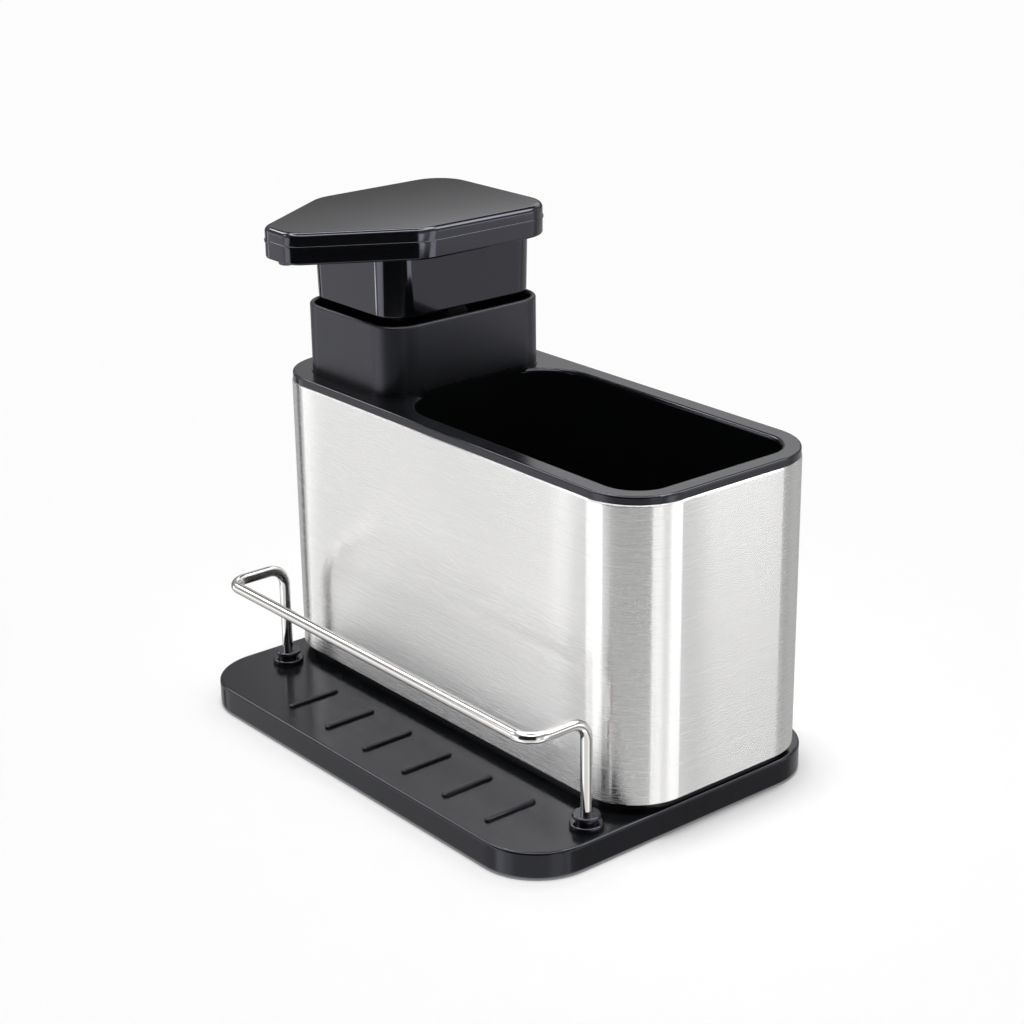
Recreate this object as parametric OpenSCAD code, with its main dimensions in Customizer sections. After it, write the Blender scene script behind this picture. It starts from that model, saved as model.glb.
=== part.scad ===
// Soap pump caddy: a steel-sleeved brush holder with a soap pump, on a sponge tray with a rail.
// Millimetres. X runs along the caddy, the tray and the spout face -Y, Z is up.
// The origin is under the middle of the base tray, on the surface that its feet stand on.

/* [Base tray] */
// Width of the base tray, left to right
base_w = 195.4; // [188:0.2:210]
// Depth of the base tray, front to back
base_d = 136.6; // [130:0.2:160]
// Height of the base tray, without the feet
base_h = 9.6; // [9:0.1:14]
// Radius of the base tray's corners in plan
base_corner_r = 22.6; // [16:0.2:26]
// Rounding of the base tray's upper and lower edges
base_edge_r = 1; // [0.4:0.1:1.8]
// Thickness of the base tray's walls and top
base_wall = 2.4; // [1.8:0.1:3]
// Distance from the sleeve's back to the base tray's back edge
back_margin = 6.7; // [4:0.1:12]
// Height of the raised ring that carries the sleeve
plinth_h = 3.9; // [3:0.1:6]
// How far the ring stands back from the sleeve's face
plinth_setback = 3.6; // [3.4:0.1:6]
// Width of the ring
plinth_band = 11; // [10:0.5:14]

/* [Sponge ribs] */
// Number of raised ribs on the sponge tray
rib_count = 6; // [3:1:7]
// Distance from one rib to the next
rib_pitch = 22.7; // [12:0.1:24]
// Length of a rib
rib_l = 21.5; // [12:0.5:26]
// Radius of a rib's half-round section
rib_r = 1.3; // [0.8:0.1:2]
// How far the row of ribs lies to the right of the tray's middle
rib_shift = 8.4; // [-10:0.1:10]
// Distance from the tray's front edge to the ribs
rib_margin = 8.5; // [4:0.1:12]

/* [Feet] */
// Diameter of a rubber foot
foot_d = 12; // [8:0.5:14]
// Thickness of a rubber foot
foot_t = 2; // [1.5:0.1:3]
// How far a foot stands out of the base tray
foot_stand = 0.6; // [0.4:0.1:1.2]
// Distance from the base tray's edges to a foot's centre
foot_inset = 17; // [14:0.5:20]

/* [Rail] */
// Diameter of the rail's steel rod
rail_d = 4; // [3:0.1:5]
// Mean distance from the tray's sides to the rail's legs
rail_inset = 11.7; // [11:0.1:24]
// How far the rail lies to the right of the tray's middle
rail_shift = 3.3; // [-4:0.1:4]
// Height of the bar's centre over the tray
rail_h = 38.7; // [28:0.1:60]
// How far the bar stands in front of the legs
rail_reach = 24.2; // [16:0.2:28]
// Radius of the rod's bends, on its centreline
rail_bend_r = 6.7; // [5:0.1:10]
// Distance from the sleeve's face to the legs
rail_margin = 9.3; // [8:0.1:12]
// Diameter of a grommet's flange
grommet_d = 11.5; // [10:0.1:14]
// Diameter of a grommet's neck
grommet_neck_d = 7.6; // [6.5:0.1:8.5]
// Height of a grommet over the tray
grommet_h = 5; // [4:0.1:7]

/* [Steel sleeve] */
// Width of the steel sleeve
sleeve_w = 200; // [190:0.5:215]
// Depth of the steel sleeve
sleeve_d = 89; // [86:0.5:96]
// Height of the steel sleeve
sleeve_h = 105.1; // [95:0.5:130]
// Radius of the sleeve's corners in plan
sleeve_corner_r = 21.8; // [18:0.2:26]
// Thickness of the sleeve's sheet
sheet = 0.6; // [0.4:0.1:1]
// Diameter of the hem rolled inward along the sleeve's top
hem_d = 1.8; // [1.4:0.1:2.4]
// Width of a fixing tab at the sleeve's foot
tab_w = 14; // [10:0.5:20]

/* [Insert] */
// Height of the insert's rim over the sleeve
rim_h = 2.9; // [2.4:0.1:5]
// How far the rim stands back from the sleeve's face
rim_setback = 0.3; // [0.1:0.1:1]
// Rounding of the rim's outer edge
rim_edge_r = 0.8; // [0.5:0.1:2]
// Wall thickness of the insert
insert_wall = 1.9; // [1.6:0.1:2.6]
// Thickness of the insert's floor
insert_floor = 2; // [1.6:0.1:3]
// Height of the insert's floor over the ring that carries the sleeve
insert_drop_gap = 3.5; // [3:0.1:6]
// Width of the rim along the front and back of the brush compartment
opening_margin = 6.4; // [6:0.1:10]
// Width of the rim at the right end of the brush compartment
opening_end_margin = 6; // [6:0.1:12]
// Corner radius of the opening at its right end
opening_end_r = 14; // [8:0.1:20]
// Corner radius of the opening beside the collar
opening_collar_r = 24.5; // [23:0.1:30]
// How far the opening's outline runs in under the collar's face
opening_tuck = 3.4; // [2:0.1:4]
// Rounding of the opening's lip
lip_r = 1.5; // [0.8:0.1:1.8]

/* [Collar] */
// Width of the collar round the pump
collar_w = 57.4; // [54:0.2:62]
// Depth of the collar
collar_d = 73; // [68:0.2:74]
// Height of the collar over the rim
collar_h = 26; // [20:0.2:40]
// Corner radius of the collar
collar_r = 12; // [8:0.25:14]
// Distance from the sleeve's left end to the collar
collar_margin = 8.9; // [8:0.1:14]

/* [Soap bottle] */
// Clearance between the bottle and its well, each side
bottle_gap = 0.4; // [0.3:0.1:1]
// Wall thickness of the bottle
bottle_wall = 1.6; // [1:0.1:2.4]
// Height of the bottle's sloping shoulder
shoulder_h = 12; // [8:0.5:18]
// Outer diameter of the neck
neck_d = 26; // [25:0.5:28]
// Bore of the neck
neck_bore = 21; // [19:0.5:22]
// Height of the neck
neck_h = 11.5; // [9:0.5:13]

/* [Pump] */
// Travel of the pump head when it is pressed
press_travel = 18; // [12:0.5:20]
// Outer diameter of the screw closure
closure_d = 33; // [31:0.5:37]
// Bore of the pump cylinder
cylinder_bore = 13.6; // [12:0.1:14.4]
// Wall thickness of the pump cylinder
cylinder_wall = 1.4; // [1:0.1:1.8]
// Outer diameter of the pump stem
stem_d = 8; // [7:0.1:9]
// Bore of the pump stem
stem_bore = 4.6; // [3:0.1:5]
// Length of the piston
piston_l = 9; // [7:0.5:11]
// Wire diameter of the return spring
spring_wire = 0.9; // [0.6:0.05:1.2]
// Mean diameter of the return spring
spring_d = 10.2; // [9.4:0.1:10.6]
// Number of turns in the return spring
spring_turns = 8; // [5:1:10]
// Diameter of the check ball
ball_d = 5; // [4.6:0.1:6]
// Outer diameter of the dip tube
tube_d = 6; // [5:0.1:7]
// Bore of the dip tube
tube_bore = 4; // [2.5:0.1:4.5]

/* [Pump head] */
// Width of the pump head
head_w = 67.4; // [60:0.2:72]
// Length of the pump head from its back to the spout's tip
head_l = 100.6; // [90:0.2:110]
// Length of the pump head from its back to its shoulders
head_body_l = 59.7; // [56:0.1:66]
// Width of the spout's tip
tip_w = 17; // [13:0.5:20]
// Height of the head's cover
cover_h = 5.5; // [5:0.1:8]
// Height of the head's lower shell
shell_h = 5.8; // [5.4:0.1:8]
// Gap between the collar and the head at rest
head_gap = 24.1; // [22:0.1:30]
// How far the head's back stands inside the collar's back, or past it where negative
head_setback = -0.5; // [-1:0.1:2]
// Wall thickness of the head
head_wall = 2; // [1.6:0.1:2.4]
// Corner radius at the head's back
head_back_r = 14; // [7:0.5:16]
// Corner radius at the head's shoulders
head_shoulder_r = 16; // [6:0.5:20]
// Corner radius at the spout's tip
head_tip_r = 8; // [4:0.5:8.5]
// Rounding of the cover's upper edge
head_edge_r = 2; // [1:0.1:2.5]
// Clearance between the skirt's lower edge and the well, each side
skirt_gap = 1.1; // [0.8:0.1:2.4]
// How much wider the skirt is at its top than at its foot, each side
skirt_draft = 0.4; // [0:0.1:0.6]
// Wall thickness of the skirt
skirt_wall = 1.6; // [1.2:0.1:2.2]
// Corner radius of the skirt
skirt_r = 10; // [6:0.5:12]
// Rounding of the skirt's lower edge
skirt_edge_r = 0.8; // [0.4:0.1:1.2]
// Height of the skirt's lower edge over the collar at rest
skirt_lift = 2; // [1:0.1:6]
// Diameter of the nozzle under the tip
nozzle_d = 6; // [5:0.1:6.6]
// How far the nozzle stands out under the tip
nozzle_drop = 1.5; // [0.5:0.1:3]

/* [Hidden] */
$fn = 64;

// Colours
satin_black = [0.13, 0.13, 0.14];
gloss_black = [0.08, 0.08, 0.09];
rubber_black = [0.05, 0.05, 0.055];
steel = [0.80, 0.80, 0.79];
natural_plastic = [0.88, 0.89, 0.88];

// Clearances and overruns
cut = 1;            // how far a cut runs past the face it opens
seat_gap = 0.05;    // gap where a rounded face seats on another piece
slip = 0.06;        // radial clearance of a running fit
snug = 0.02;        // radial clearance of a pressed fit
skin = 0.2;         // thickness of the flat slices that a tapered form spans

// Levels, from the surface up
base_top = foot_stand + base_h;
base_roof = base_top - base_wall;
sleeve_z = base_top + plinth_h;
sleeve_top = sleeve_z + sleeve_h;
rim_z = sleeve_top + seat_gap;
rim_top = sleeve_top + rim_h;
collar_top = rim_top + collar_h;
head_z = collar_top + head_gap;
parting_z = head_z + shell_h;
head_top = parting_z + cover_h;
insert_z = sleeve_z + insert_drop_gap;
floor_z = insert_z + insert_floor;

// Places in plan
sleeve_y = base_d / 2 - back_margin - sleeve_d / 2;
pump_x = collar_margin + collar_w / 2 - sleeve_w / 2;
well_w = collar_w - 2 * insert_wall;
well_d = collar_d - 2 * insert_wall;
well_r = collar_r - insert_wall;
rail_span = base_w - 2 * rail_inset;
rail_x = [rail_shift - rail_span / 2, rail_shift + rail_span / 2];
leg_y = sleeve_y - sleeve_d / 2 - rail_margin;
opening_x0 = pump_x + collar_w / 2 - opening_tuck;
opening_x1 = sleeve_w / 2 - opening_end_margin;
opening_d = sleeve_d - 2 * opening_margin;

// Underside of the base tray
web_t = 1.8;
web_recess = 1.5;
web_x_shares = [-0.3, -0.1, 0.1, 0.3];
web_y_shares = [-0.36, 0.125];
boss_wall = 1.6;
foot_slip = 0.1;

// Fixings of the sleeve
tab_x_share = 0.3;
screw_d = 2.9;
screw_head_d = 5.6;
screw_head_h = 1.7;
screw_l = 8;
tab_hole_gap = 0.4;
tab_end_margin = 2;
screw_back = plinth_setback + plinth_band / 2;

// Fixings of the rail
washer_d = 9;
washer_t = 0.8;
nut_af = 7;
nut_h = 3.2;
thread_end = 1;
fixing_gap = 0.5;
leg_z = base_roof - washer_t - nut_h - thread_end;
grommet_flange_h = 2;
grommet_edge = 0.6;
grommet_waist = 0.9;

// Insert
guide_depth = 6;
guide_gap = 0.4;
guide_t = 1.6;
step_h = 0.4;
step_w = 0.5;
slot_w = 3;
slot_l = 16;
slot_pitch = 15;
slot_row_gap = 14;
slot_count = 6;
well_drain_d = 8;

// Bottle
press_gap = 5;
bottle_edge_r = 1.5;
bottle_w = well_w - 2 * bottle_gap;
bottle_d = well_d - 2 * bottle_gap;
bottle_r = well_r - bottle_gap;
bottle_top = collar_top + skirt_lift - press_travel - press_gap;
bottle_h = bottle_top - floor_z;
bottle_reach = norm([bottle_w, bottle_d]) / 2;
neck_top = bottle_top + neck_h;
neck_shelf = 2.5;
bead_h = 1.2;
bead_w = 0.25;

// Closure, gasket and guide
gasket_t = 1;
flange_t = 1.6;
flange_gap = 0.4;
closure_web = 1.8;
closure_gap = 0.7;
closure_slack = 0.3;
knurl_count = 36;
knurl_r = 0.7;
guide_plug_l = 6;
guide_rise = 3.5;
guide_wall = 2;
flange_z = neck_top + gasket_t;
flange_top = flange_z + flange_t;
closure_top = flange_top + closure_web;
stem_guide_d = cylinder_bore + 2 * guide_wall;

// Cylinder and what works in it
piston_top = flange_top - guide_plug_l;
piston_z = piston_top - piston_l;
piston_lip = 1.6;
piston_waist = 1.2;
spring_spare = 4;
spring_seat = piston_z - press_travel - spring_turns * spring_wire - spring_spare;
spring_rings = 8;
spring_sides = 6;
chamber_h = 7.5;
chamber_gap = 1.3;
cage_t = 1;
inlet_share = 0.8;
inlet_web = 1.5;
nipple_l = 14;
nipple_wall = 1.5;
chamber_r = ball_d / 2 + chamber_gap;
chamber_z = spring_seat - chamber_h;
inlet_r = inlet_share * ball_d / 2;
ball_z = chamber_z + sqrt(pow(ball_d / 2, 2) - pow(inlet_r, 2)) + snug;
nipple_top = chamber_z - inlet_web;
tube_floor_gap = 2.5;
tube_z = floor_z + bottle_wall + tube_floor_gap;

// Head
head_fn = 48;
head_back = collar_d / 2 - head_setback;
shoulder_y = head_back - head_body_l;
tip_y = head_back - head_l;
taper = atan((head_w - tip_w) / 2 / (shoulder_y - tip_y));
ridge = 0.3;
ridge_h = 0.9;
shell_edge_r = 0.8;
tongue_t = 1.2;
tongue_depth = 2;
tongue_gap = 0.2;
socket_wall = 2.2;
socket_drop = 6;
spout_d = 4;
spout_bore = 2.4;
spout_gap = 0.4;
inlet_stub_d = 7.2;
nozzle_margin = 4.5;
nozzle_y = tip_y + nozzle_margin;
shell_floor = head_z + head_wall;
spout_z = shell_floor + spout_gap + spout_d / 2;
spout_top = spout_z + spout_d / 2;
skirt_z = collar_top + skirt_lift;
skirt_flange_w = 9;
skirt_flange_t = 2;
stud_d = 4;
stud_head_d = 5.6;
stud_head_h = 1;
stud_x = well_w / 2 - skirt_gap - skirt_flange_w / 2;
stud_y_share = 0.3;

// Outline of a rectangle whose left and right ends have their own corner radii
module ends_outline(x0, x1, d, r0, r1) {
    translate([x0 + r0, -d / 2]) square([x1 - r1 - x0 - r0, d]);
    translate([x0, r0 - d / 2]) square([r0, d - 2 * r0]);
    translate([x1 - r1, r1 - d / 2]) square([r1, d - 2 * r1]);
    for (side = [-1, 1]) {
        translate([x0 + r0, side * (d / 2 - r0)]) circle(r0);
        translate([x1 - r1, side * (d / 2 - r1)]) circle(r1);
    }
}

// The same outline with four equal corners, centred on the origin
module plate_outline(w, d, r) {
    ends_outline(-w / 2, w / 2, d, r, r);
}

// Flat plate with rounded corners, standing on the origin's level
module plate(w, d, r, h) {
    linear_extrude(h) plate_outline(w, d, r);
}

// Carries a flat section round that outline: the section's x is 0 on the outline and negative inside
module around_ends(x0, x1, d, r0, r1) {
    for (side = [0, 1]) mirror([0, side, 0]) {
        translate([x1 - r1, d / 2 - r1, 0]) rotate_extrude(angle = 90) translate([r1, 0]) children();
        translate([x0 + r0, d / 2 - r0, 0]) rotate([0, 0, 90])
            rotate_extrude(angle = 90) translate([r0, 0]) children();
        translate([x0 + r0, d / 2, 0]) rotate([90, 0, 90]) linear_extrude(x1 - r1 - x0 - r0) children();
    }
    translate([x1, d / 2 - r1, 0]) rotate([90, 0, 0]) linear_extrude(d - 2 * r1) children();
    translate([x0, r0 - d / 2, 0]) rotate([90, 0, 180]) linear_extrude(d - 2 * r0) children();
}

// Carries a flat section round a rounded rectangle that is centred on the origin
module around(w, d, r) {
    around_ends(-w / 2, w / 2, d, r, r) children();
}

// Plate whose upper and lower edges are rounded
module pillow(w, d, r, h, low_r, top_r) {
    translate([0, 0, low_r]) plate(w, d, r, h - low_r - top_r);
    plate(w - 2 * low_r, d - 2 * low_r, r - low_r, h - top_r);
    translate([0, 0, low_r]) plate(w - 2 * top_r, d - 2 * top_r, r - top_r, h - low_r);
    around(w, d, r) {
        translate([-low_r, low_r]) circle(low_r);
        translate([-top_r, h - top_r]) circle(top_r);
    }
}

// Plate whose upper edge alone is rounded
module crowned(w, d, r, h, top_r) {
    plate(w, d, r, h - top_r);
    plate(w - 2 * top_r, d - 2 * top_r, r - top_r, h);
    around(w, d, r) translate([-top_r, h - top_r]) circle(top_r);
}

// Ring between two rounded rectangles
module band(w, d, r, t, h) {
    linear_extrude(h) difference() {
        plate_outline(w, d, r);
        plate_outline(w - 2 * t, d - 2 * t, r - t);
    }
}

// Tube standing on the origin's level
module pipe(outer, bore, h) {
    difference() {
        cylinder(d = outer, h = h);
        translate([0, 0, -cut]) cylinder(d = bore, h = h + 2 * cut);
    }
}

// Places of the four feet
module at_feet() {
    for (sx = [-1, 1], sy = [-1, 1])
        translate([sx * (base_w / 2 - foot_inset), sy * (base_d / 2 - foot_inset), 0]) children();
}

// Places of the rail's two legs
module at_legs() {
    for (x = rail_x) translate([x, leg_y, 0]) children();
}

// Places of the sleeve's four tabs, with +Y turned towards the sleeve's wall
module at_tabs() {
    for (sx = [-1, 1], side = [0, 1])
        translate([0, sleeve_y, 0]) mirror([0, side, 0])
            translate([sx * tab_x_share * sleeve_w, sleeve_d / 2, 0]) children();
}

// Everything on the pump's axis
module at_pump() {
    translate([pump_x, sleeve_y, 0]) children();
}

// Base tray: sponge tray in front, ring for the sleeve behind, hollow and webbed underneath
module base_tray() color(satin_black) {
    ring_w = sleeve_w - 2 * plinth_setback;
    ring_d = sleeve_d - 2 * plinth_setback;
    ring_r = sleeve_corner_r - plinth_setback;
    difference() {
        union() {
            difference() {
                union() {
                    translate([0, 0, foot_stand])
                        pillow(base_w, base_d, base_corner_r, base_h, base_edge_r, base_edge_r);
                    translate([0, sleeve_y, base_roof])
                        band(ring_w, ring_d, ring_r, plinth_band, sleeve_z - base_roof);
                    for (i = [0 : rib_count - 1])
                        translate([rib_shift + (i - (rib_count - 1) / 2) * rib_pitch,
                                   rib_margin - base_d / 2, base_top])
                            sponge_rib();
                }
                translate([0, 0, foot_stand - cut])
                    plate(base_w - 2 * base_wall, base_d - 2 * base_wall, base_corner_r - base_wall,
                          base_h - base_wall + cut);
                translate([0, sleeve_y, base_roof - cut])
                    band(ring_w - 2 * base_wall, ring_d - 2 * base_wall, ring_r - base_wall,
                         plinth_band - 2 * base_wall, plinth_h + cut);
            }
            translate([0, 0, foot_stand + web_recess]) webs(base_h - web_recess - base_wall / 2);
            at_feet() translate([0, 0, foot_stand])
                cylinder(d = foot_d + 2 * boss_wall, h = base_h - base_wall / 2);
            at_tabs() translate([0, -screw_back, sleeve_z - sheet - screw_l])
                cylinder(d = screw_d + 2 * base_wall, h = screw_l + sheet - base_wall / 2);
        }
        at_feet() translate([0, 0, foot_stand - cut])
            cylinder(d = foot_d + 2 * foot_slip, h = foot_t - foot_stand + cut);
        at_legs() translate([0, 0, base_roof - cut])
            cylinder(d = grommet_neck_d, h = base_wall + 2 * cut);
        at_legs() translate([0, 0, leg_z - fixing_gap])
            cylinder(d = washer_d + 2 * fixing_gap, h = base_roof - leg_z + fixing_gap);
        at_tabs() translate([0, -screw_back, sleeve_z - screw_l])
            cylinder(d = screw_d, h = screw_l + cut);
    }
}

// One half-round rib with round ends, running back from its front end
module sponge_rib() {
    for (y = [rib_r, rib_l - rib_r]) translate([0, y, 0]) sphere(rib_r);
    translate([0, rib_r, 0]) rotate([-90, 0, 0]) cylinder(r = rib_r, h = rib_l - 2 * rib_r);
}

// Stiffening webs that cross the hollow underside of the tray
module webs(h) {
    run_w = base_w - base_wall;
    run_d = base_d - base_wall;
    for (s = web_x_shares) translate([s * base_w, 0, h / 2]) cube([web_t, run_d, h], center = true);
    for (s = web_y_shares) translate([0, s * base_d, h / 2]) cube([run_w, web_t, h], center = true);
}

// Rubber feet glued into the pockets of the base tray
module base_feet() color(rubber_black) {
    at_feet() cylinder(d = foot_d, h = foot_t);
}

// Bent steel rail: two legs, two arms and the bar in front
module rail() color(steel) {
    bar_z = base_top + rail_h;
    arm_l = rail_reach - 2 * rail_bend_r;
    for (i = [0, 1]) translate([rail_x[i], leg_y, 0]) mirror([i, 0, 0]) {
        translate([0, 0, leg_z]) cylinder(d = rail_d, h = bar_z - rail_bend_r - leg_z);
        translate([0, -rail_bend_r, bar_z - rail_bend_r]) rotate([90, 0, 90])
            rotate_extrude(angle = 90) translate([rail_bend_r, 0]) circle(d = rail_d);
        translate([0, -rail_bend_r, bar_z]) rotate([90, 0, 0]) cylinder(d = rail_d, h = arm_l);
        translate([rail_bend_r, -rail_bend_r - arm_l, bar_z]) rotate([0, 0, 180])
            rotate_extrude(angle = 90) translate([rail_bend_r, 0]) circle(d = rail_d);
    }
    translate([rail_x[0] + rail_bend_r, leg_y - rail_reach, bar_z]) rotate([0, 90, 0])
        cylinder(d = rail_d, h = rail_span - 2 * rail_bend_r);
}

// Two-step grommets that the legs pass through
module rail_grommets() color(rubber_black) {
    r = grommet_d / 2;
    neck_r = grommet_neck_d / 2;
    bore_r = rail_d / 2 + snug;
    head_h = (grommet_h - grommet_flange_h) / 2;
    at_legs() translate([0, 0, base_top]) rotate_extrude() difference() {
        union() {
            translate([0, -base_wall]) square([neck_r - snug, grommet_h + base_wall - grommet_edge]);
            square([r - grommet_edge, grommet_flange_h]);
            translate([0, grommet_edge]) square([r, grommet_flange_h - 2 * grommet_edge]);
            for (z = [grommet_edge, grommet_flange_h - grommet_edge])
                translate([r - grommet_edge, z]) circle(grommet_edge);
            translate([0, grommet_h - head_h])
                square([neck_r + grommet_waist - grommet_edge, head_h]);
            translate([neck_r + grommet_waist - grommet_edge, grommet_h - head_h / 2])
                circle(head_h / 2);
        }
        translate([0, -base_wall - cut]) square([bore_r, grommet_h + base_wall + 2 * cut]);
    }
}

// Washers under the tray, round the rail's threaded ends
module rail_washers() color(steel) {
    at_legs() translate([0, 0, base_roof - washer_t]) pipe(washer_d, rail_d + 2 * snug, washer_t);
}

// Nuts that draw the rail down on the tray
module rail_nuts() color(steel) {
    at_legs() translate([0, 0, base_roof - washer_t - nut_h]) difference() {
        cylinder(d = nut_af / cos(30), h = nut_h, $fn = 6);
        translate([0, 0, -cut]) cylinder(d = rail_d + 2 * snug, h = nut_h + 2 * cut);
    }
}

// Sheet steel sleeve with a rolled hem on top and four tabs turned in at its foot
module steel_sleeve() color(steel) {
    tab_l = plinth_setback + plinth_band - tab_end_margin;
    translate([0, sleeve_y, sleeve_z]) around(sleeve_w, sleeve_d, sleeve_corner_r) {
        translate([-sheet, 0]) square([sheet, sleeve_h - hem_d / 2]);
        translate([-hem_d / 2, sleeve_h - hem_d / 2]) circle(d = hem_d);
    }
    at_tabs() difference() {
        translate([-tab_w / 2, -tab_l, sleeve_z]) cube([tab_w, tab_l - sheet / 2, sheet]);
        translate([0, -screw_back, sleeve_z - cut])
            cylinder(d = screw_d + tab_hole_gap, h = sheet + 2 * cut);
    }
}

// Pan-head screws that hold the sleeve's tabs on the ring
module sleeve_screws() color(steel) {
    at_tabs() translate([0, -screw_back, sleeve_z + sheet]) {
        cylinder(d1 = screw_head_d, d2 = screw_head_d - screw_head_h, h = screw_head_h);
        translate([0, 0, sheet - screw_l]) cylinder(d = screw_d - 2 * snug, h = screw_l - sheet + snug);
    }
}

// Outline of the brush compartment, drawn in by an inset
module opening_outline(inset) {
    ends_outline(opening_x0 + inset, opening_x1 - inset, opening_d - 2 * inset,
                 opening_collar_r - inset, opening_end_r - inset);
}

// Outline of the collar and the well below it
module collar_outline() {
    translate([pump_x, 0]) plate_outline(collar_w, collar_d, collar_r);
}

// Moulded insert: rim, brush compartment, and the bottle's well that rises as the collar
module caddy_insert() color(satin_black) translate([0, sleeve_y, 0]) {
    guide_in = hem_d + guide_gap;
    lip_round = insert_wall / 2;
    difference() {
        union() {
            difference() {
                translate([0, 0, rim_z])
                    crowned(sleeve_w - 2 * rim_setback, sleeve_d - 2 * rim_setback,
                            sleeve_corner_r - rim_setback, rim_top - rim_z, rim_edge_r);
                translate([0, 0, rim_z - cut]) linear_extrude(rim_h + 2 * cut) opening_outline(0);
            }
            around_ends(opening_x0, opening_x1, opening_d, opening_collar_r, opening_end_r)
                intersection() {
                    translate([0, rim_top - lip_r]) circle(lip_r);
                    translate([-lip_r, rim_top - lip_r]) square(lip_r);
                }
            translate([0, 0, rim_z - guide_depth])
                band(sleeve_w - 2 * guide_in, sleeve_d - 2 * guide_in, sleeve_corner_r - guide_in,
                     guide_t, guide_depth + rim_h / 2);
            translate([0, 0, insert_z])
                linear_extrude(rim_top - lip_r - insert_z) opening_outline(lip_r - insert_wall);
            translate([0, 0, insert_z])
                linear_extrude(collar_top - lip_round - insert_z) collar_outline();
            translate([pump_x, 0, 0]) around(collar_w, collar_d, collar_r) {
                translate([-lip_round, collar_top - lip_round]) circle(lip_round);
                translate([-lip_round, rim_top - lip_round])
                    square([lip_round + step_w, lip_round + step_h]);
            }
        }
        translate([0, 0, floor_z]) linear_extrude(collar_top - floor_z) difference() {
            opening_outline(lip_r);
            collar_outline();
        }
        translate([pump_x, 0, floor_z]) plate(well_w, well_d, well_r, collar_top - floor_z + cut);
        translate([pump_x, 0, insert_z - cut]) cylinder(d = well_drain_d, h = insert_floor + 2 * cut);
        drain_slots();
    }
}

// Two rows of drain slots through the brush compartment's floor
module drain_slots() {
    mid_x = (pump_x + collar_w / 2 + opening_x1) / 2;
    for (i = [0 : slot_count - 1], side = [-1, 1])
        translate([mid_x + (i - (slot_count - 1) / 2) * slot_pitch,
                   side * (slot_row_gap + slot_l) / 2, insert_z - cut])
            linear_extrude(insert_floor + 2 * cut) {
                square([slot_w, slot_l - slot_w], center = true);
                for (end = [-1, 1]) translate([0, end * (slot_l - slot_w) / 2]) circle(d = slot_w);
            }
}

// Soap bottle that stands in the well, with a conical shoulder and a round neck
module soap_bottle() color(natural_plastic) at_pump() {
    inner_reach = bottle_reach - bottle_wall;
    difference() {
        union() {
            intersection() {
                translate([0, 0, floor_z])
                    pillow(bottle_w, bottle_d, bottle_r, bottle_h + bottle_edge_r,
                           bottle_edge_r, bottle_edge_r);
                union() {
                    translate([0, 0, floor_z]) cylinder(r = bottle_reach, h = bottle_h - shoulder_h);
                    translate([0, 0, bottle_top - shoulder_h])
                        cylinder(r1 = bottle_reach, r2 = neck_d / 2 + neck_shelf, h = shoulder_h);
                }
            }
            translate([0, 0, bottle_top - bottle_wall]) cylinder(d = neck_d, h = neck_h + bottle_wall);
            translate([0, 0, bottle_top + neck_h / 2]) cylinder(d = neck_d + 2 * bead_w, h = bead_h);
        }
        intersection() {
            translate([0, 0, floor_z + bottle_wall])
                plate(bottle_w - 2 * bottle_wall, bottle_d - 2 * bottle_wall, bottle_r - bottle_wall,
                      bottle_h);
            union() {
                translate([0, 0, floor_z])
                    cylinder(r = inner_reach, h = bottle_h - shoulder_h - bottle_wall);
                translate([0, 0, bottle_top - shoulder_h - bottle_wall])
                    cylinder(r1 = inner_reach, r2 = neck_bore / 2, h = shoulder_h);
            }
        }
        translate([0, 0, bottle_top - shoulder_h]) cylinder(d = neck_bore, h = shoulder_h + neck_h + cut);
    }
}

// Ribbed screw closure that clamps the pump on the bottle's neck
module pump_closure() color(satin_black) at_pump() {
    low = bottle_top + closure_gap;
    difference() {
        translate([0, 0, low]) linear_extrude(closure_top - low) {
            circle(d = closure_d - knurl_r);
            for (i = [0 : knurl_count - 1])
                rotate(360 * i / knurl_count) translate([closure_d / 2 - knurl_r, 0]) circle(knurl_r);
        }
        translate([0, 0, low - cut])
            cylinder(d = neck_d + 2 * closure_slack + 2 * bead_w, h = flange_top - low + cut);
        translate([0, 0, flange_top - cut])
            cylinder(d = stem_guide_d + 2 * closure_slack, h = closure_web + 2 * cut);
    }
}

// Soft gasket between the neck and the cylinder's flange
module closure_gasket() color(rubber_black) at_pump() {
    translate([0, 0, neck_top]) pipe(neck_d, cylinder_bore + 2 * cylinder_wall + 2 * snug, gasket_t);
}

// Guide that the stem slides in, plugged into the cylinder's mouth
module stem_guide() color(satin_black) at_pump() {
    guide_top = closure_top + guide_rise;
    difference() {
        union() {
            translate([0, 0, flange_top]) cylinder(d = stem_guide_d, h = guide_top - flange_top);
            translate([0, 0, piston_top])
                cylinder(d = cylinder_bore - 2 * snug, h = guide_plug_l + guide_rise / 2);
        }
        translate([0, 0, piston_top - cut])
            cylinder(d = stem_d + 2 * slip, h = guide_top - piston_top + 2 * cut);
    }
}

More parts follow.
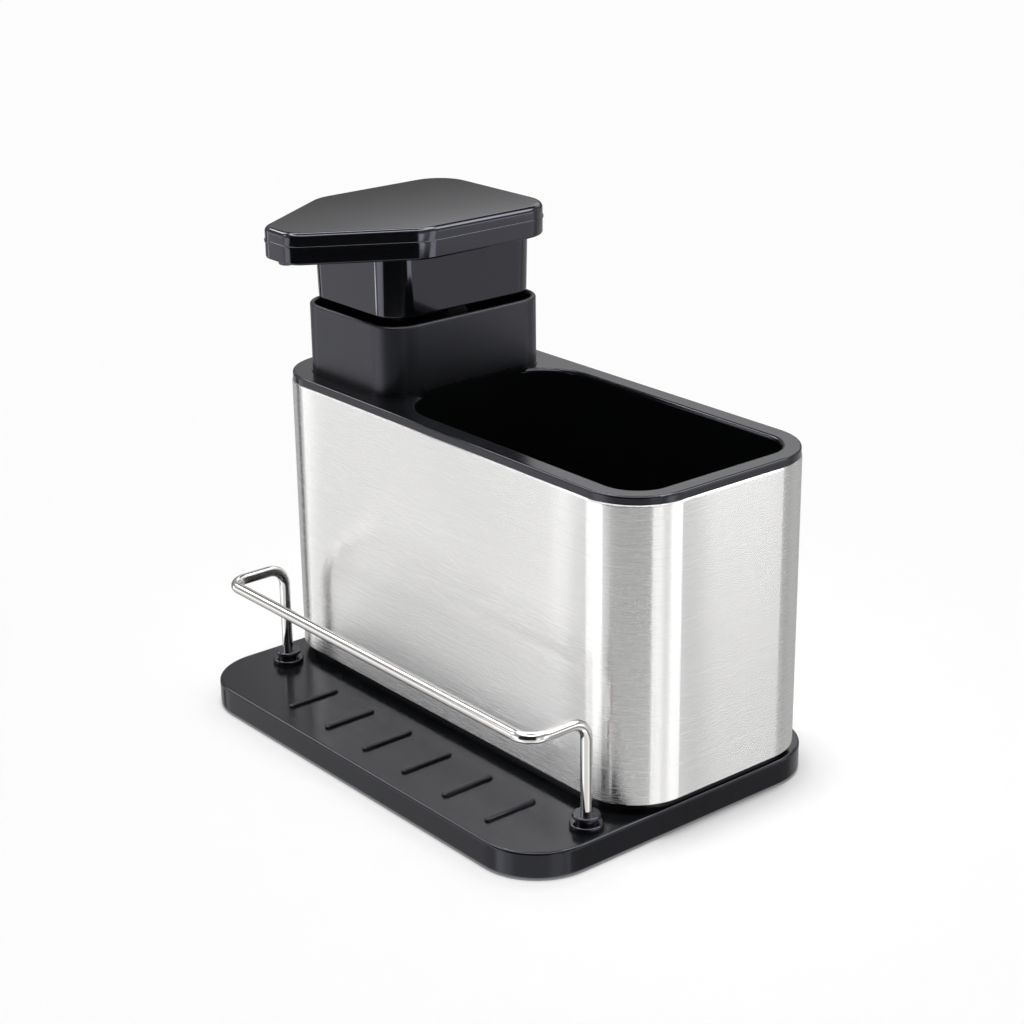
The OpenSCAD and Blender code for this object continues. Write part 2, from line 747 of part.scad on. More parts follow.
// Pump cylinder: flange, barrel, ball chamber and the nipple for the dip tube
module pump_cylinder() color(natural_plastic) at_pump() {
    bore_r = cylinder_bore / 2;
    barrel_r = bore_r + cylinder_wall;
    room_r = chamber_r + cylinder_wall;
    nipple_r = tube_d / 2 + nipple_wall;
    nipple_z = nipple_top - nipple_l;
    rotate_extrude() polygon([
        [bore_r, flange_top], [neck_d / 2 - flange_gap, flange_top], [neck_d / 2 - flange_gap, flange_z],
        [barrel_r, flange_z], [barrel_r, spring_seat - cylinder_wall],
        [room_r, spring_seat - 2 * cylinder_wall], [room_r, chamber_z],
        [nipple_r, nipple_top], [nipple_r, nipple_z],
        [tube_d / 2 + snug, nipple_z], [tube_d / 2 + snug, nipple_top], [inlet_r, nipple_top],
        [inlet_r, chamber_z], [chamber_r, chamber_z], [chamber_r, spring_seat], [bore_r, spring_seat]
    ]);
    for (turn = [0, 90]) rotate(turn) translate([0, 0, spring_seat - cage_t / 2])
        cube([2 * chamber_r + cylinder_wall, cage_t, cage_t], center = true);
}

// Check ball that closes the inlet on the head's way down
module check_ball() color(steel) at_pump() {
    translate([0, 0, ball_z]) sphere(d = ball_d);
}

// Centreline of the return spring at a share s of its length
function spring_point(s, low, high) =
    [spring_d / 2 * cos(360 * spring_turns * s), spring_d / 2 * sin(360 * spring_turns * s),
     low + (high - low) * s];

// Number of the spring's point k on ring i
function wire_at(i, k) = i * spring_sides + k % spring_sides;

// Return spring between the cylinder's seat and the piston, one unbroken tube
module pump_spring() color(steel) at_pump() {
    wire_r = spring_wire / 2;
    low = spring_seat + wire_r + seat_gap;
    high = piston_z - wire_r - seat_gap;
    last = spring_turns * spring_rings;
    rings = [for (i = [0 : last]) let (
        s = i / last, a = 360 * spring_turns * s, p = spring_point(s, low, high),
        out = [cos(a), sin(a), 0]
    ) [for (k = [0 : spring_sides - 1]) let (b = 360 * k / spring_sides)
        p + wire_r * (cos(b) * out + sin(b) * [0, 0, 1])]];
    points = [for (ring = rings) each ring];
    sides = [for (i = [0 : last - 1], k = [0 : spring_sides - 1]) each [
        [wire_at(i, k), wire_at(i + 1, k), wire_at(i + 1, k + 1)],
        [wire_at(i, k), wire_at(i + 1, k + 1), wire_at(i, k + 1)]]];
    ends = [for (k = [1 : spring_sides - 2]) each [
        [wire_at(0, 0), wire_at(0, k), wire_at(0, k + 1)],
        [wire_at(last, 0), wire_at(last, k + 1), wire_at(last, k)]]];
    polyhedron(points, concat(sides, ends));
}

// Least clear gap from one turn of the spring to the next, measured on the points of its centreline
spring_gap = min([for (i = [0 : spring_rings - 1]) norm(
    spring_point((i / spring_rings + 1) / spring_turns, spring_seat, piston_z - spring_wire)
    - spring_point(i / spring_rings / spring_turns, spring_seat, piston_z - spring_wire))]) - spring_wire;
echo(spring_gap = spring_gap);

// Piston with two sealing lips, pressed on the stem's foot
module pump_piston() color(natural_plastic) at_pump() {
    r = cylinder_bore / 2 - slip;
    hub_r = stem_d / 2 + snug;
    translate([0, 0, piston_z]) rotate_extrude() polygon([
        [hub_r, 0], [r, 0], [r, piston_lip], [r - piston_waist, 2 * piston_lip],
        [r - piston_waist, piston_l - 2 * piston_lip], [r, piston_l - piston_lip], [r, piston_l],
        [hub_r, piston_l]
    ]);
}

// Hollow stem from the piston up into the head's socket
module pump_stem() color(natural_plastic) at_pump() {
    translate([0, 0, piston_z]) pipe(stem_d, stem_bore, head_z - piston_z);
}

// Dip tube, cut on the slant at its foot
module dip_tube() color(natural_plastic) at_pump() {
    difference() {
        translate([0, 0, tube_z]) pipe(tube_d, tube_bore, nipple_top - seat_gap - tube_z);
        translate([0, 0, tube_z]) rotate([0, 45, 0])
            cube([2 * tube_d, 2 * tube_d, 2 * tube_d], center = true);
    }
}

// Skirt under the head that slides down inside the collar
module pump_skirt() color(gloss_black) at_pump() {
    low_w = well_w - 2 * skirt_gap;
    low_d = well_d - 2 * skirt_gap;
    high_w = low_w + 2 * skirt_draft;
    high_d = low_d + 2 * skirt_draft;
    difference() {
        tapered(low_w, low_d, high_w, high_d, skirt_r, skirt_z, head_z, skirt_edge_r);
        tapered(low_w - 2 * skirt_wall, low_d - 2 * skirt_wall, high_w - 2 * skirt_wall,
                high_d - 2 * skirt_wall, skirt_r - skirt_wall, skirt_z - cut, head_z - skirt_flange_t, 0);
        translate([0, 0, head_z - skirt_flange_t - cut])
            plate(low_w - 2 * skirt_flange_w, low_d - 2 * skirt_flange_w, skirt_r - skirt_wall,
                  skirt_flange_t + 2 * cut);
    }
    at_studs() translate([0, 0, head_z - skirt_flange_t / 2]) {
        cylinder(d = stud_d, h = shell_floor - head_z + skirt_flange_t / 2 + stud_head_h / 2);
        translate([0, 0, shell_floor - head_z + skirt_flange_t / 2])
            cylinder(d = stud_head_d, h = stud_head_h);
    }
}

// Solid that tapers from a lower rounded rectangle, with a rounded edge, to an upper one
module tapered(w0, d0, w1, d1, r, z0, z1, low_r) {
    hull() {
        for (sx = [-1, 1], sy = [-1, 1]) translate([sx * (w0 / 2 - r), sy * (d0 / 2 - r), z0])
            rounded_disc(r, low_r + skin, low_r, 0);
        translate([0, 0, z1 - skin]) plate(w1, d1, r, skin, $fn = head_fn);
    }
}

// Places of the studs that hold the skirt to the head's shell
module at_studs() {
    for (sx = [-1, 1], sy = [-1, 1]) translate([sx * stud_x, sy * stud_y_share * well_d, 0]) children();
}

// Corner circles of the head's outline: centre and radius of each
function head_corners() = let (half = head_w / 2) [for (side = [-1, 1]) each [
    [side * (half - head_back_r), head_back - head_back_r, head_back_r],
    [side * (half - head_shoulder_r), shoulder_y + head_shoulder_r * tan(taper / 2), head_shoulder_r],
    [side * (tip_w / 2 - head_tip_r * tan((90 - taper) / 2)), tip_y + head_tip_r, head_tip_r]
]];

// Solid on the head's outline, drawn in by an inset, with rounded lower and upper edges
module head_form(inset, z0, z1, low_r, top_r) {
    hull() for (c = head_corners()) translate([c[0], c[1], z0])
        rounded_disc(c[2] - inset, z1 - z0, low_r, top_r);
}

// Disc whose lower and upper edges are rounded
module rounded_disc(r, h, low_r, top_r) {
    rotate_extrude($fn = head_fn) {
        square([r - max(low_r, top_r), h]);
        translate([0, low_r]) square([r, h - low_r - top_r]);
        if (low_r > 0) translate([r - low_r, low_r]) intersection() {
            circle(low_r, $fn = 24);
            translate([-low_r, -low_r]) square([2 * low_r, low_r]);
        }
        if (top_r > 0) translate([r - top_r, h - top_r]) intersection() {
            circle(top_r, $fn = 32);
            translate([-top_r, 0]) square([2 * top_r, top_r]);
        }
    }
}

// Lower shell of the head, with the stem's socket and the nozzle's hole
module head_shell() color(gloss_black) at_pump() {
    difference() {
        union() {
            difference() {
                head_form(0, head_z, parting_z, shell_edge_r, 0);
                head_form(head_wall, shell_floor, parting_z + cut, 0, 0);
            }
            translate([0, 0, head_z - socket_drop])
                cylinder(d = stem_d + 2 * socket_wall, h = socket_drop + head_wall / 2);
        }
        translate([0, 0, head_z - socket_drop - cut])
            cylinder(d = stem_d + 2 * snug, h = socket_drop + cut);
        translate([0, 0, head_z - cut]) cylinder(d = inlet_stub_d + 2 * snug, h = head_wall + 2 * cut);
        translate([0, nozzle_y, head_z - cut]) cylinder(d = spout_d + 2 * snug, h = head_wall + 2 * cut);
        at_studs() translate([0, 0, head_z - cut]) cylinder(d = stud_d + 2 * snug, h = head_wall + 2 * cut);
    }
}

// Cover of the head: a fine ridge along its lower edge, a tongue inside the shell, room for the tube's end
module head_cover() color(gloss_black) at_pump() {
    inner = head_wall + tongue_gap;
    difference() {
        union() {
            head_form(0, parting_z, head_top, 0, head_edge_r);
            head_form(-ridge, parting_z, parting_z + ridge_h, 0, ridge);
            difference() {
                head_form(inner, parting_z - tongue_depth, parting_z + cut, 0, 0);
                translate([-head_w / 2, shoulder_y - head_l, parting_z - tongue_depth - cut])
                    cube([head_w, head_l, tongue_depth + cut]);
            }
        }
        head_form(inner + tongue_t, parting_z - tongue_depth - cut, head_top - head_wall, 0, 0);
        translate([0, nozzle_y, shell_floor])
            cylinder(d = spout_d + 2 * spout_gap, h = spout_top + spout_gap - shell_floor);
    }
}

// Spout tube inside the head, from the stem to the nozzle
module spout_tube() color(natural_plastic) at_pump() {
    difference() {
        union() {
            translate([0, 0, head_z + snug]) cylinder(d = inlet_stub_d, h = spout_z - head_z);
            translate([0, 0, spout_z]) rotate([90, 0, 0]) cylinder(d = spout_d, h = -nozzle_y);
            translate([0, nozzle_y, spout_z]) sphere(d = spout_d);
            translate([0, nozzle_y, shell_floor + snug])
                cylinder(d = spout_d, h = spout_z - shell_floor - snug);
        }
        translate([0, 0, head_z - cut]) cylinder(d = spout_bore, h = spout_z - head_z + cut);
        translate([0, 0, spout_z]) rotate([90, 0, 0]) cylinder(d = spout_bore, h = -nozzle_y);
        translate([0, nozzle_y, shell_floor - cut]) cylinder(d = spout_bore, h = spout_z - shell_floor + cut);
    }
}

// Nozzle pressed in from under the tip
module nozzle_tip() color(gloss_black) at_pump() {
    translate([0, nozzle_y, 0]) difference() {
        union() {
            translate([0, 0, head_z - nozzle_drop]) rounded_nozzle();
            translate([0, 0, head_z - nozzle_drop / 2])
                cylinder(d = spout_d, h = head_wall + nozzle_drop / 2);
        }
        translate([0, 0, head_z - nozzle_drop - cut])
            cylinder(d = spout_bore, h = nozzle_drop + head_wall + 2 * cut);
    }
}

// Visible button of the nozzle, rounded underneath
module rounded_nozzle() {
    edge = nozzle_drop / 2;
    rotate_extrude() {
        square([nozzle_d / 2 - edge, nozzle_drop]);
        translate([0, edge]) square([nozzle_d / 2, nozzle_drop - edge]);
        translate([nozzle_d / 2 - edge, edge]) circle(edge);
    }
}

base_tray();
base_feet();
rail();
rail_grommets();
rail_washers();
rail_nuts();
steel_sleeve();
sleeve_screws();
caddy_insert();
soap_bottle();
pump_closure();
closure_gasket();
stem_guide();
pump_cylinder();
check_ball();
pump_spring();
pump_piston();
pump_stem();
dip_tube();
pump_skirt();
head_shell();
head_cover();
spout_tube();
nozzle_tip();
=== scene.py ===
"""Looks of the soap pump caddy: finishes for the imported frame, a pale floor, soft light and the camera.

Everything is in metres in the frame's own axes: X along the caddy, -Y towards the sponge tray, Z up.
A heading is an angle in degrees from +X towards +Y, and a height is an angle in degrees above level.
"""

import math

import bpy
from mathutils import Matrix, Vector

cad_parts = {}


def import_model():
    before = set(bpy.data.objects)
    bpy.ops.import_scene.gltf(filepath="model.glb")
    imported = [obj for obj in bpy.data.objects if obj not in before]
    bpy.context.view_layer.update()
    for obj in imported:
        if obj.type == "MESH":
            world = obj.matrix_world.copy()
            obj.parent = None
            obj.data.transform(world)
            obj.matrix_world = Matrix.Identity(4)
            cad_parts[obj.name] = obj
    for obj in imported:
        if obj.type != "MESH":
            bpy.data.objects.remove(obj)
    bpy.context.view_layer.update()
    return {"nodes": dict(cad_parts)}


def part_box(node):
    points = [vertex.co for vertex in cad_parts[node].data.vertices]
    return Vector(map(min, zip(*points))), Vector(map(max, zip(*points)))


MM = 0.001

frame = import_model()
NODES = frame["nodes"]

# Camera, worked out from the straight edges of the photograph, with its angles in degrees
CAMERA_PLACE = Vector((565.35, -457.64, 359.86)) * MM
CAMERA_TURN = 50.59
CAMERA_PITCH = 20.68
CAMERA_ROLL = -0.72
SENSOR_W = 36.0
FOCAL_PX = 2199.14
IMAGE_PX = 1024
CLIP_NEAR = 0.01
CLIP_FAR = 20.0

# Smoothing of the moulded shells, whose round stretches come as narrow flats:
# an edge turned by more degrees than this stays sharp, and corners this close are one
SHARP_ANGLE = 32.0
WELD = 0.002 * MM

# Sleeve: radius of its bends, how far the sheet bows next to a bend, and the bow's slope there in degrees
BEND_R = 21.8 * MM
BOW_L = 18 * MM
BOW_ANGLE = 5.0

# Brushed lines of the sleeve: size, how much finer they are along each axis, depth, and their least and
# greatest roughness
LINE_SIZE = 1.2 * MM
LINE_FINENESS = (0.02, 0.02, 6)
LINE_DEPTH = 0.00001 * MM
LINE_ROUGH = (0.268, 0.276)

# Faint dome of the head's cover, along X and along Y: where its crest lies, as a share of the cover's box,
# and its fall in metres at a metre from there
CROWN = ((0.5, 0.5), (0.55, 0.06))

# Black plastic: tint of its gloss, lean of its colour to blue, size of its flow marks, size of the spots
# in its roughness and how far they take it, and size of its grain
COOL = (0.84, 0.84, 1.0, 1.0)
BLUE = -0.12
FLOW_SIZE = 35 * MM
SPOT_SIZE = 4 * MM
SPOT_ROUGH = 0.012
GRAIN_SIZE = 0.6 * MM

# Insert: height of its rim, above which the collar starts, and the stretch in which its roughness changes
RIM_TOP = 122.1 * MM
RIM_BLEND = 3 * MM

# Floor: radius, corners, how pale it is, and how much it glows for the camera
FLOOR_R = 6.0
FLOOR_CORNERS = 96
PAPER = 0.87
PAPER_GLOW = 0.105

# World: brightness for the camera, for shiny surfaces and for dull ones
PAPER_WHITE = 0.985
MIRROR_LIGHT = 0.8
ROOM_LIGHT = 0.384

# Lamp overhead: heading, height, strength and angle across
KEY_HEADING = -60
KEY_HEIGHT = 86
KEY_LIGHT = 1.95
KEY_SPREAD = 24

# Sockets of the Mix node that hold its factor and its two colours, and the one with the mixed colour
MIX_INPUTS = (0, 6, 7)
MIX_OUTPUT = 2


# Shader building

class Wiring:
    """A node tree, and short calls to wire nodes into it."""

    def __init__(self, tree):
        self.tree = tree

    def node(self, kind, **values):
        """A node of that kind. Values whose names are sockets go there, and the rest are its settings."""
        made = self.tree.nodes.new("ShaderNode" + kind)
        for name, value in values.items():
            socket = name.replace("_", " ")
            if socket in made.inputs:
                self.put(value, made.inputs[socket])
            else:
                setattr(made, name, value)
        return made

    def put(self, value, socket):
        """Links an output to the socket, or sets the socket to a plain value."""
        if isinstance(value, bpy.types.NodeSocket):
            self.tree.links.new(value, socket)
        else:
            socket.default_value = value

    def math(self, operation, *values, clamp=False):
        made = self.node("Math", operation=operation, use_clamp=clamp)
        for value, socket in zip(values, made.inputs):
            self.put(value, socket)
        return made.outputs[0]

    def spread(self, value, low, high, start=0.3, stop=0.7, smooth=False):
        """Value mapped so that start gives low and stop gives high. The defaults suit a noise."""
        made = self.node("MapRange", Value=value, From_Min=start, From_Max=stop, To_Min=low, To_Max=high)
        if smooth:
            made.interpolation_type = "SMOOTHSTEP"
        return made.outputs[0]


class Shader(Wiring):
    """A material with its Principled shader, whose plain values are given by name."""

    def __init__(self, name, **values):
        self.material = bpy.data.materials.new(name)
        self.material.use_nodes = True
        super().__init__(self.material.node_tree)
        self.surface = self.tree.nodes["Principled BSDF"]
        for socket, value in values.items():
            self.surface.inputs[socket.replace("_", " ")].default_value = value

    def coords(self):
        return self.node("TexCoord").outputs["Object"]

    def axes(self):
        """Outputs for X, Y and Z of the place in the object."""
        return self.node("SeparateXYZ", Vector=self.coords()).outputs

    def noise(self, size, fineness=(1, 1, 1), detail=2.0, roughness=0.5):
        """Noise from 0 to 1 with features of about that size in metres, over the fineness of each axis."""
        place = self.node("Mapping", Vector=self.coords(), Scale=fineness).outputs[0]
        made = self.node("TexNoise", Vector=place, Scale=1 / size, Detail=detail, Roughness=roughness)
        return made.outputs["Fac"]

    def mix(self, factor, a, b):
        """Colour a where the factor is 0 and b where it is 1."""
        made = self.node("Mix", data_type="RGBA")
        for value, index in zip((factor, a, b), MIX_INPUTS):
            self.put(value, made.inputs[index])
        return made.outputs[MIX_OUTPUT]

    def arch(self, away, fall):
        """Height that drops with the square of the way from a crest, by that fall at a metre."""
        return self.math("MULTIPLY", self.math("MULTIPLY", away, away), -fall)

    def bump(self, *layers):
        """Bump from layers of (height, depth in metres of a height of 1), each on top of the one before."""
        normal = None
        for height, depth in layers:
            made = self.node("Bump", Height=height, Strength=1.0, Distance=depth)
            if normal:
                self.put(normal, made.inputs["Normal"])
            normal = made.outputs[0]
        self.put(normal, self.surface.inputs["Normal"])

    def grain(self, size, depth, below=(), **noise):
        """Bump from a noise of that size and depth, on top of the layers below it."""
        self.bump(*below, (self.noise(size, **noise), depth))

    def roughness(self, value):
        self.put(value, self.surface.inputs["Roughness"])

    def rough_around(self, middle, wander, size, **noise):
        """Roughness that goes that far to both sides of the middle, in spots of that size."""
        self.roughness(self.spread(self.noise(size, **noise), middle - wander, middle + wander))

    def colour(self, value):
        self.put(value, self.surface.inputs["Base Color"])

    def mottled(self, dark, light, size, **noise):
        """Colour that wanders between the two, in clouds of that size."""
        self.colour(self.mix(self.noise(size, **noise), dark, light))


def grey(value, warm=0.0):
    """A nearly neutral colour: warm above 0 leans to yellow, below 0 to blue."""
    return (value * (1 + warm), value, value * (1 - warm), 1)


def dress(shader, *names):
    for name in names:
        NODES[name].data.materials.clear()
        NODES[name].data.materials.append(shader.material)


# Finishes

def moulded_black(name, base, rough, shine, grain, shape=None, upper=None):
    """Black plastic with faint flow marks and a grain of that depth in metres.

    Shape gives any shallow shape of its face, and upper the roughness above the rim.
    """
    shader = Shader(name, Specular_IOR_Level=shine, Specular_Tint=COOL)
    flow = shader.spread(shader.noise(FLOW_SIZE, detail=3.0), 0, 1)
    shader.colour(shader.mix(flow, grey(base * 0.8, BLUE), grey(base * 1.2, BLUE)))
    level = rough
    if upper:
        level = shader.spread(shader.axes()[2], rough, upper, RIM_TOP, RIM_TOP + RIM_BLEND)
    spots = shader.spread(shader.noise(SPOT_SIZE, detail=4.0), -SPOT_ROUGH, SPOT_ROUGH)
    shader.roughness(shader.math("ADD", level, spots))
    below = [(shape(shader), 1.0)] if shape else []
    shader.grain(GRAIN_SIZE, grain, below, detail=3.0, roughness=0.6)
    return shader


def crown(shader):
    """Height in metres of the faint dome of the head's cover."""
    corners = zip(*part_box("head_cover"))
    parts = []
    for place, (low, high), (share, fall) in zip(shader.axes(), corners, CROWN):
        away = shader.math("SUBTRACT", place, low + share * (high - low))
        parts.append(shader.arch(away, fall))
    return shader.math("ADD", *parts)


def rubber(name, base, rough):
    shader = Shader(name, Specular_IOR_Level=0.5)
    shader.mottled(dark=grey(base * 0.8), light=grey(base * 1.25), size=6 * MM, detail=4.0)
    shader.rough_around(rough, wander=0.06, size=2 * MM, detail=4.0)
    shader.grain(size=0.4 * MM, depth=0.006 * MM)
    return shader


def brushed_steel():
    """Sheet steel with fine horizontal brushing, which spreads reflections up and down."""
    shader = Shader("brushed_steel", Metallic=1.0, Anisotropic=1.0)
    lines = shader.noise(LINE_SIZE, fineness=LINE_FINENESS, detail=4.0, roughness=0.7)
    dull, bright, cloudy = grey(0.905, 0.006), grey(0.915, 0.006), grey(0.9, 0.01)
    brushed = shader.mix(shader.spread(lines, 0, 1), dull, bright)
    clouds = shader.spread(shader.noise(size=60 * MM), 0, 0.35)
    shader.colour(shader.mix(clouds, brushed, cloudy))
    shader.roughness(shader.spread(lines, *LINE_ROUGH))
    shader.bump((bow(shader, "steel_sleeve"), 1.0), (lines, LINE_DEPTH))
    upright = shader.node("CombineXYZ", Z=1.0).outputs[0]
    shader.put(upright, shader.surface.inputs["Tangent"])
    return shader


def bow(shader, name):
    """Height in metres of the slight bow that the sheet keeps next to each bend."""
    fall = math.tan(math.radians(BOW_ANGLE)) / (2 * BOW_L)
    sides = list(zip(shader.axes(), *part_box(name)))[:2]
    parts = []
    for place, low, high in sides:
        middle, half = (low + high) / 2, (high - low) / 2
        away = shader.math("ABSOLUTE", shader.math("SUBTRACT", place, middle))
        past = shader.math("MAXIMUM", shader.math("SUBTRACT", away, half - BEND_R - BOW_L), 0.0)
        parts.append(shader.arch(past, fall))
    return shader.math("ADD", *parts)


def polished_rod():
    """Polished rod with the faintest drawing marks."""
    shader = Shader("polished_rod", Metallic=1.0)
    shader.mottled(dark=grey(0.76, 0.025), light=grey(0.82, 0.02), size=12 * MM)
    shader.rough_around(0.11, wander=0.02, size=1.5 * MM, detail=3.0)
    shader.grain(size=0.8 * MM, depth=0.001 * MM)
    return shader


def zinc(name, value, rough):
    shader = Shader(name, Metallic=1.0)
    shader.mottled(dark=grey(value * 0.9), light=grey(value), size=2 * MM, detail=3.0)
    shader.rough_around(rough, wander=0.06, size=1 * MM, detail=3.0)
    shader.grain(size=0.3 * MM, depth=0.004 * MM)
    return shader


def natural_plastic(name, value, rough):
    """Unfilled polypropylene: milky, with light that goes a little way in."""
    shader = Shader(name, Subsurface_Weight=0.5, Subsurface_Radius=(1.2, 1.2, 1.2), Subsurface_Scale=MM)
    shader.mottled(dark=grey(value * 0.94, -0.01), light=grey(value, -0.01), size=10 * MM)
    shader.rough_around(rough, wander=0.05, size=3 * MM, detail=3.0)
    shader.grain(size=1 * MM, depth=0.006 * MM)
    return shader


dress(moulded_black("satin_black_tray", base=0.006, rough=0.18, shine=0.5, grain=0.0012 * MM),
      "base_tray")
dress(moulded_black("satin_black_insert", base=0.006, rough=0.18, shine=0.65, grain=0.001 * MM,
                    upper=0.36),
      "caddy_insert")
dress(moulded_black("satin_black_closure", base=0.01, rough=0.42, shine=0.5, grain=0.01 * MM),
      "pump_closure", "stem_guide")
dress(moulded_black("gloss_black_cover", base=0.004, rough=0.12, shine=0.9, grain=0.0004 * MM,
                    shape=crown),
      "head_cover")
dress(moulded_black("gloss_black_shell", base=0.004, rough=0.08, shine=0.9, grain=0.0003 * MM),
      "head_shell")
dress(moulded_black("gloss_black_skirt", base=0.004, rough=0.06, shine=0.9, grain=0.0002 * MM),
      "pump_skirt", "nozzle_tip")
dress(rubber("rubber_foot", base=0.02, rough=0.6),
      "base_feet", "closure_gasket")
dress(moulded_black("gloss_black_grommet", base=0.005, rough=0.09, shine=0.8, grain=0.0005 * MM),
      "rail_grommets")
dress(brushed_steel(), "steel_sleeve")
dress(polished_rod(), "rail")
dress(zinc("zinc_fixings", value=0.62, rough=0.3),
      "rail_washers", "rail_nuts", "sleeve_screws", "check_ball")
dress(zinc("spring_wire", value=0.55, rough=0.25),
      "pump_spring")
dress(natural_plastic("natural_parts", value=0.8, rough=0.4),
      "pump_cylinder", "pump_piston", "pump_stem", "dip_tube", "spout_tube")
dress(natural_plastic("natural_bottle", value=0.74, rough=0.35),
      "soap_bottle")


# Smoothing

def smoother():
    """Node group that joins a shell's flats into smooth faces and leaves its true edges sharp."""
    group = bpy.data.node_groups.new("smooth_shell", "GeometryNodeTree")
    group.interface.new_socket("Geometry", in_out="INPUT", socket_type="NodeSocketGeometry")
    group.interface.new_socket("Geometry", in_out="OUTPUT", socket_type="NodeSocketGeometry")
    start = group.nodes.new("NodeGroupInput")
    weld = group.nodes.new("GeometryNodeMergeByDistance")
    weld.inputs["Distance"].default_value = WELD
    bare = group.nodes.new("GeometryNodeRemoveAttribute")
    bare.inputs["Name"].default_value = "custom_normal"
    faces = group.nodes.new("GeometryNodeSetShadeSmooth")
    faces.domain = "FACE"
    angle = group.nodes.new("GeometryNodeInputMeshEdgeAngle")
    below = group.nodes.new("FunctionNodeCompare")
    below.data_type = "FLOAT"
    below.operation = "LESS_THAN"
    below.inputs[1].default_value = math.radians(SHARP_ANGLE)
    edges = group.nodes.new("GeometryNodeSetShadeSmooth")
    edges.domain = "EDGE"
    stop = group.nodes.new("NodeGroupOutput")
    link = group.links.new
    link(start.outputs[0], weld.inputs["Geometry"])
    link(weld.outputs[0], bare.inputs["Geometry"])
    link(bare.outputs[0], faces.inputs["Geometry"])
    link(faces.outputs[0], edges.inputs["Geometry"])
    link(angle.outputs["Unsigned Angle"], below.inputs[0])
    link(below.outputs[0], edges.inputs["Shade Smooth"])
    link(edges.outputs[0], stop.inputs[0])
    return group


def smooth(*names):
    group = smoother()
    for name in names:
        NODES[name].modifiers.new("smooth", "NODES").node_group = group
        level = NODES[name].modifiers.new("level", "WEIGHTED_NORMAL")
        level.keep_sharp = True


smooth("head_cover", "head_shell", "pump_skirt")


# Studio

def floor():
    """Plain pale floor that keeps the object's soft shadow. For the camera it glows up to white."""
    bpy.ops.mesh.primitive_circle_add(vertices=FLOOR_CORNERS, radius=FLOOR_R, fill_type="NGON")
    made = bpy.context.object
    made.name = "floor"
    made.visible_glossy = False
    shader = Shader("floor_paper", Base_Color=(PAPER, PAPER, PAPER, 1), Roughness=0.9,
                    Specular_IOR_Level=0.0, Emission_Color=(1, 1, 1, 1))
    camera_ray = shader.node("LightPath").outputs["Is Camera Ray"]
    shader.put(shader.math("MULTIPLY", camera_ray, PAPER_GLOW), shader.surface.inputs["Emission Strength"])
    made.data.materials.append(shader.material)


# What shiny surfaces mirror, in brightness: a pale table all round below level, and a dim room above it,
# into which the table fades up to this height
TABLE = 1.0
ROOM = 0.45
FADE = 16

# Soft boxes, cards and flags in front of both, each over the ones before it: name, heading, half width,
# soft edge at the sides, lowest and highest height, soft edge above and below, and brightness
BOXES = [
    ("left strip box", -155, 3, 3, -90, 6, 10, 2.2),
    ("left flag", -171, 5, 2, -90, 0, 6, 0.02),
    ("left back wall", 169, 9, 6, -90, 0, 6, 0.66),
    ("front strip box", -110, 11, 2, -90, 0, 6, 2.1),
    ("camera wall", -54, 36, 8, -90, -5, 5, 0.96),
    ("step of the camera wall", -91, 6, 3, -90, -5, 5, 1.5),
    ("gap by the camera wall", -8, 9, 3, -90, -5, 5, 1.35),
    ("right strip box", 21, 6, 4, -90, 6, 6, 2.5),
    ("right wall", 46, 7, 5, -8, -2, 3, 3.6),
    ("right back flag", 71, 5, 12, -90, 0, 6, 0.5),
    ("back wall", 115, 35, 6, -90, 0, 6, 0.6),
    ("front table", -142, 11, 6, -90, -19, 1, 1.2),
    ("front wall", -142, 9, 6, -8, 5, 3, 1.6),
    ("front card by the skirt", -141, 14, 4, -18.8, -15, 0.8, 0.92),
    ("right card by the skirt", 43, 12, 3, -18.8, -15, 0.8, 0.76),
    ("tray card in front", -141, 25, 5, -40, -25.5, 1.5, 0.68),
    ("tray card at the right", 43, 25, 5, -40, -25.5, 1.5, 0.26),
    ("dark room", -56, 36, 2, -18.8, 40, 1, 0.02),
    ("dark card by the skirt", -5, 15, 2, -18.8, -14.4, 0.6, 0.04),
    ("thin lamp by the skirt", -134, 2.5, 1, -16.9, -15.9, 0.4, 7.5),
    ("lamp by the head", -10, 4, 5, -13.6, -12, 0.5, 5.5),
    ("low back", 141, 45, 10, -2, 9, 6, 0.22),
    ("back glow", 121, 20, 9, 21, 31, 8, 1.55),
    ("top back flag", 135, 40, 8, 35, 50, 3, 0.06),
    ("front card", -132, 5, 5, 23, 34, 3, 5.2),
    ("key box", -172, 8, 2, 34, 48, 3, 9.0),
    ("right box", 58, 14, 4, 32, 50, 4, 6.5),
    ("overhead box", 0, 179, 1, 58, 68, 3, 8.0),
]


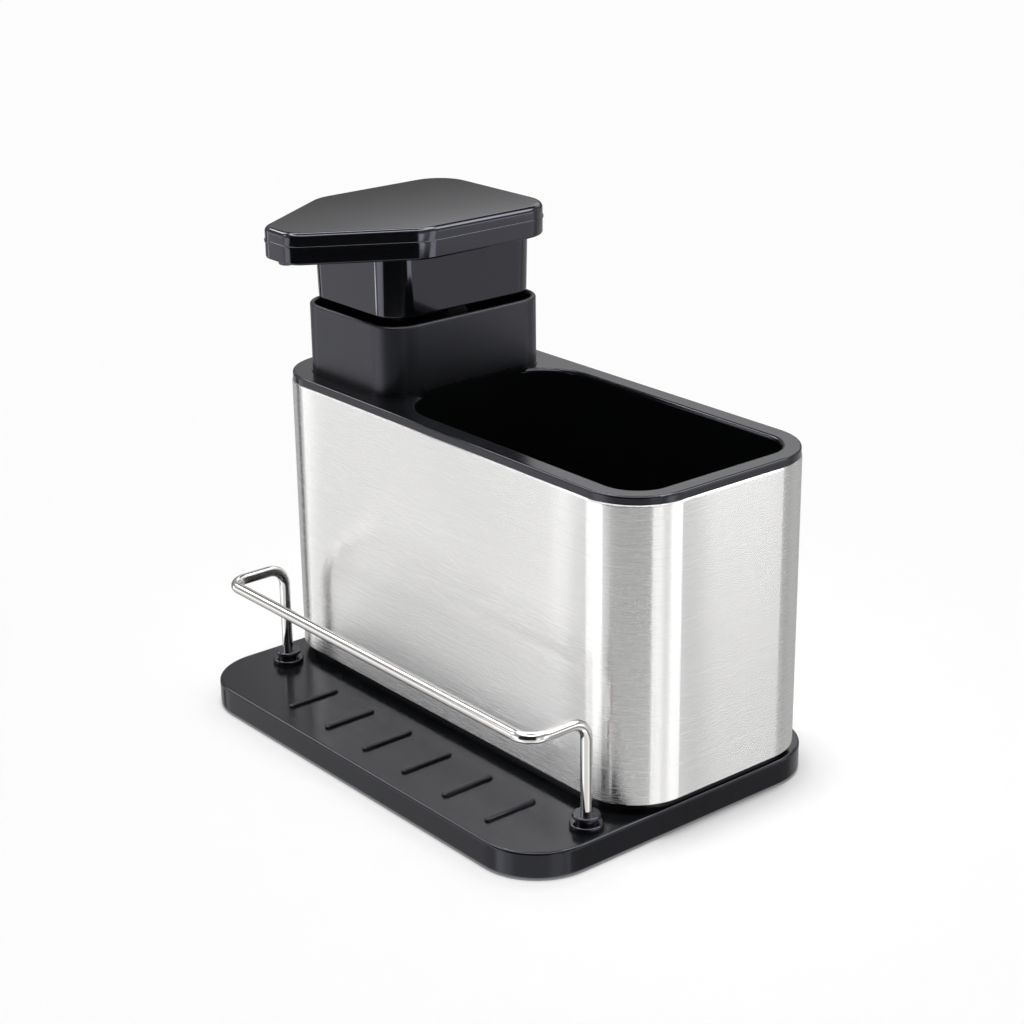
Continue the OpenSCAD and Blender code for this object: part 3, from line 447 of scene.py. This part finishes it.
def world():
    """White for the camera, plain light for diffuse rays, and the boxes for glossy ones."""
    made = bpy.data.worlds.new("studio")
    bpy.context.scene.world = made
    made.use_nodes = True
    made.cycles.sampling_method = "NONE"
    made.node_tree.nodes.clear()
    wires = Wiring(made.node_tree)
    calc = wires.math
    x, y, z = wires.node("SeparateXYZ", Vector=wires.node("TexCoord").outputs["Generated"]).outputs
    heading = calc("DEGREES", calc("ARCTAN2", y, x))
    height = calc("DEGREES", calc("ARCSINE", z))
    gloss = wires.spread(height, TABLE, ROOM, 0, FADE, smooth=True)
    for _, middle, half, edge, low, high, rise, brightness in BOXES:
        off = calc("ABSOLUTE", calc("WRAP", calc("SUBTRACT", heading, middle), 180.0, -180.0))
        across = wires.spread(off, 0, 1, half + edge, half, smooth=True)
        above = wires.spread(height, 0, 1, low - rise, low, smooth=True)
        below = wires.spread(height, 0, 1, high + rise, high, smooth=True)
        share = calc("MULTIPLY", across, calc("MULTIPLY", above, below))
        gloss = calc("ADD", gloss, calc("MULTIPLY", share, calc("SUBTRACT", brightness, gloss)))
    path = wires.node("LightPath")
    camera_ray = path.outputs["Is Camera Ray"]
    mirror = calc("MAXIMUM", path.outputs["Is Glossy Ray"], path.outputs["Is Transmission Ray"])
    dull = calc("SUBTRACT", 1.0, calc("ADD", camera_ray, mirror), clamp=True)
    mirrored = calc("MULTIPLY", calc("MULTIPLY", gloss, mirror), MIRROR_LIGHT)
    level = calc("ADD", calc("MULTIPLY", camera_ray, PAPER_WHITE),
                 calc("ADD", mirrored, calc("MULTIPLY", dull, ROOM_LIGHT)))
    background = wires.node("Background", Color=(1, 1, 1, 1), Strength=level)
    wires.put(background.outputs[0], wires.node("OutputWorld").inputs[0])


def lamp(name, heading, height, strength, angle):
    """A far soft lamp that shines from that heading and height, left out of mirrors."""
    data = bpy.data.lights.new(name, "SUN")
    data.energy = strength
    data.angle = math.radians(angle)
    made = bpy.data.objects.new(name, data)
    bpy.context.scene.collection.objects.link(made)
    turn, rise = math.radians(heading), math.radians(height)
    source = Vector((math.cos(turn) * math.cos(rise), math.sin(turn) * math.cos(rise), math.sin(rise)))
    made.rotation_euler = source.to_track_quat("Z", "Y").to_euler()
    made.visible_glossy = False


def camera():
    data = bpy.data.cameras.new("camera")
    data.sensor_width = SENSOR_W
    data.lens = SENSOR_W * FOCAL_PX / IMAGE_PX
    data.clip_start = CLIP_NEAR
    data.clip_end = CLIP_FAR
    made = bpy.data.objects.new("camera", data)
    bpy.context.scene.collection.objects.link(made)
    made.matrix_world = (Matrix.Translation(CAMERA_PLACE)
                         @ Matrix.Rotation(math.radians(CAMERA_TURN), 4, "Z")
                         @ Matrix.Rotation(math.radians(90 - CAMERA_PITCH), 4, "X")
                         @ Matrix.Rotation(math.radians(CAMERA_ROLL), 4, "Z"))
    bpy.context.scene.camera = made


floor()
world()
lamp("key", KEY_HEADING, KEY_HEIGHT, KEY_LIGHT, KEY_SPREAD)
camera()
bpy.context.scene.view_settings.view_transform = "Standard"
